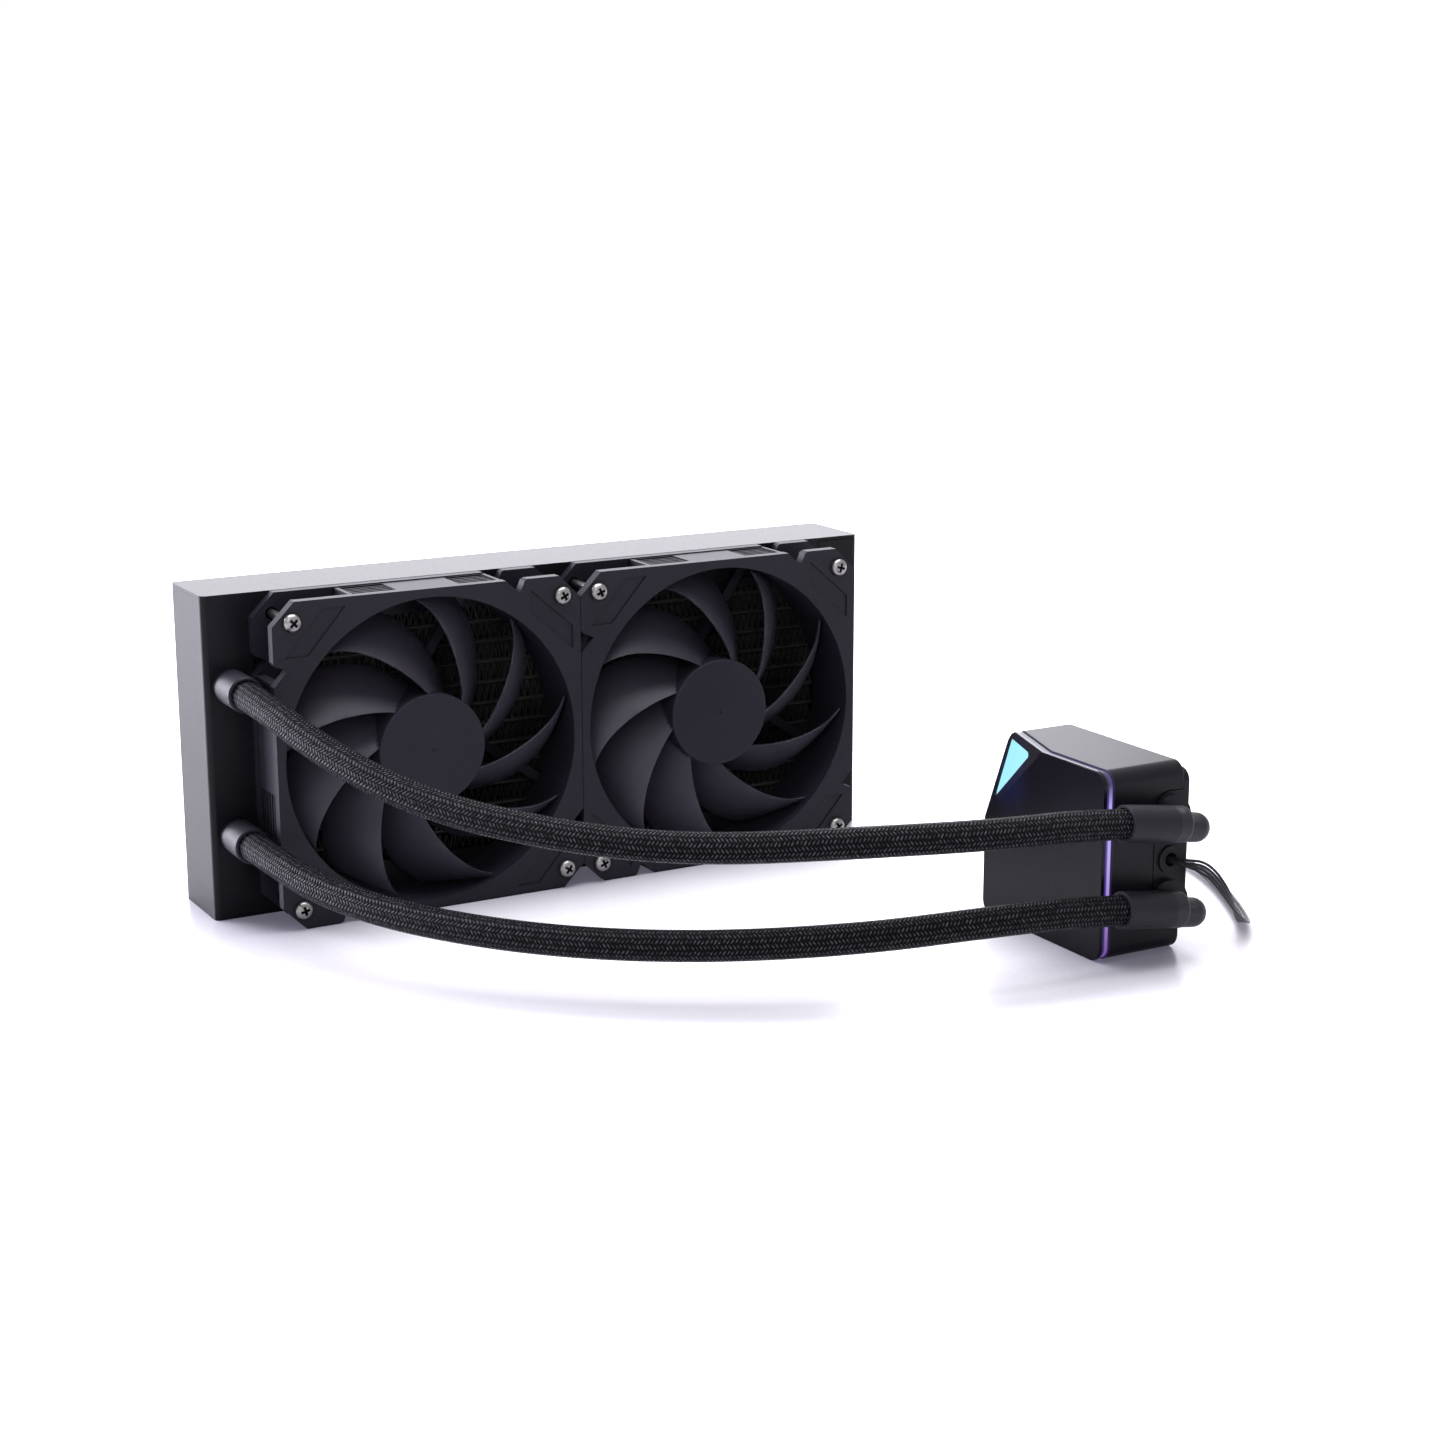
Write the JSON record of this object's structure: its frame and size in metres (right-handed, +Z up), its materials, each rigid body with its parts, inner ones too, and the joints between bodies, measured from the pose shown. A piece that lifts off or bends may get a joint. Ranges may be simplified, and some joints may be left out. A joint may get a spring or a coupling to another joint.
{
  "type": "all in one, two 120 mm fans, square pump head with two swivel elbows",
  "caption": "All in one liquid cooler for a computer processor: long radiator with fans, braided hoses and a square pump head with a lit corner",
  "frame": {"origin": "centre of the radiator's underside, the long side that it stands on", "axes": "+X along the radiator from the tank with the hose ports to the far tank, +Y through the radiator from the fans to the back, +Z up"},
  "size_m": [0.3527, 0.2475, 0.12],
  "materials": {
    "radiator_paint": "satin",
    "fin_metal": "satin",
    "fan_plastic": "matte",
    "bright_steel": "brushed",
    "gloss_black": "gloss",
    "housing_black": "satin",
    "collar_black": "anodised",
    "light_plastic": "gloss",
    "copper": "machined",
    "hose_braid": "matte",
    "black_rubber": "matte",
    "board_green": "matte",
    "winding_copper": "matte",
    "magnet_grey": "matte"
  },
  "bodies": {
    "root": {"bottom_rail": "radiator_paint", "cold_plate": "copper", "cold_plate_gasket": "black_rubber", "cold_plate_screws": "bright_steel", "core_side_plates": "radiator_paint", "corner_window": "light_plastic", "fan_screws": "bright_steel", "fin_strips": "fin_metal", "flat_tubes": "fin_metal", "front_plate": "gloss_black", "impeller_shaft": "bright_steel", "inlet_collar": "collar_black", "inlet_fitting": "radiator_paint", "lead_grommet": "black_rubber", "led_board": "board_green", "left_fan_bearing": "bright_steel", "left_fan_board": "board_green", "left_fan_frame": "fan_plastic", "left_fan_stator": "winding_copper", "left_header": "radiator_paint", "left_tank": "radiator_paint", "light_guide": "light_plastic", "lower_hose": "hose_braid", "outlet_collar": "collar_black", "outlet_fitting": "radiator_paint", "pump_body": "housing_black", "pump_housing": "housing_black", "pump_lead": "black_rubber", "pump_lead_coil": "black_rubber", "pump_lead_plug": "housing_black", "pump_stator": "winding_copper", "right_fan_bearing": "bright_steel", "right_fan_board": "board_green", "right_fan_frame": "fan_plastic", "right_fan_stator": "winding_copper", "right_header": "radiator_paint", "right_tank": "radiator_paint", "rotor_can": "bright_steel", "tank_baffle": "radiator_paint", "top_rail": "radiator_paint", "upper_hose": "hose_braid"},
    "left_fan_rotor_body": {"left_fan_rotor": "fan_plastic", "left_fan_rotor_yoke": "bright_steel", "left_fan_rotor_magnet": "magnet_grey", "left_fan_shaft": "bright_steel"},
    "right_fan_rotor_body": {"right_fan_rotor": "fan_plastic", "right_fan_rotor_yoke": "bright_steel", "right_fan_rotor_magnet": "magnet_grey", "right_fan_shaft": "bright_steel"},
    "pump_impeller_body": {"impeller": "housing_black", "impeller_magnet": "magnet_grey", "impeller_bush": "magnet_grey"},
    "upper_elbow_body": {"upper_elbow": "housing_black", "upper_elbow_collar": "collar_black", "upper_elbow_seal": "black_rubber"},
    "lower_elbow_body": {"lower_elbow": "housing_black", "lower_elbow_collar": "collar_black", "lower_elbow_seal": "black_rubber"}
  },
  "joints": [
    {"name": "left_fan_spin", "type": "hinge", "parent": "root", "child": "left_fan_rotor_body", "pos_m": [-0.06, -0.03, 0.06], "axis": [0, -1, 0], "continuous": true},
    {"name": "right_fan_spin", "type": "hinge", "parent": "root", "child": "right_fan_rotor_body", "pos_m": [0.06, -0.03, 0.06], "axis": [0, -1, 0], "continuous": true},
    {"name": "pump_impeller_spin", "type": "hinge", "parent": "root", "child": "pump_impeller_body", "pos_m": [0.13, -0.17945, 0.0338], "axis": [1, 0, 0], "continuous": true},
    {"name": "upper_elbow_swivel", "type": "hinge", "parent": "root", "child": "upper_elbow_body", "pos_m": [0.13975, -0.224, 0.0487], "axis": [0, 1, 0], "range_deg": [-20, 60], "deforming": ["upper_hose"]},
    {"name": "lower_elbow_swivel", "type": "hinge", "parent": "root", "child": "lower_elbow_body", "pos_m": [0.13975, -0.224, 0.0182], "axis": [0, 1, 0], "range_deg": [-20, 12], "deforming": ["lower_hose"]}
  ]
}
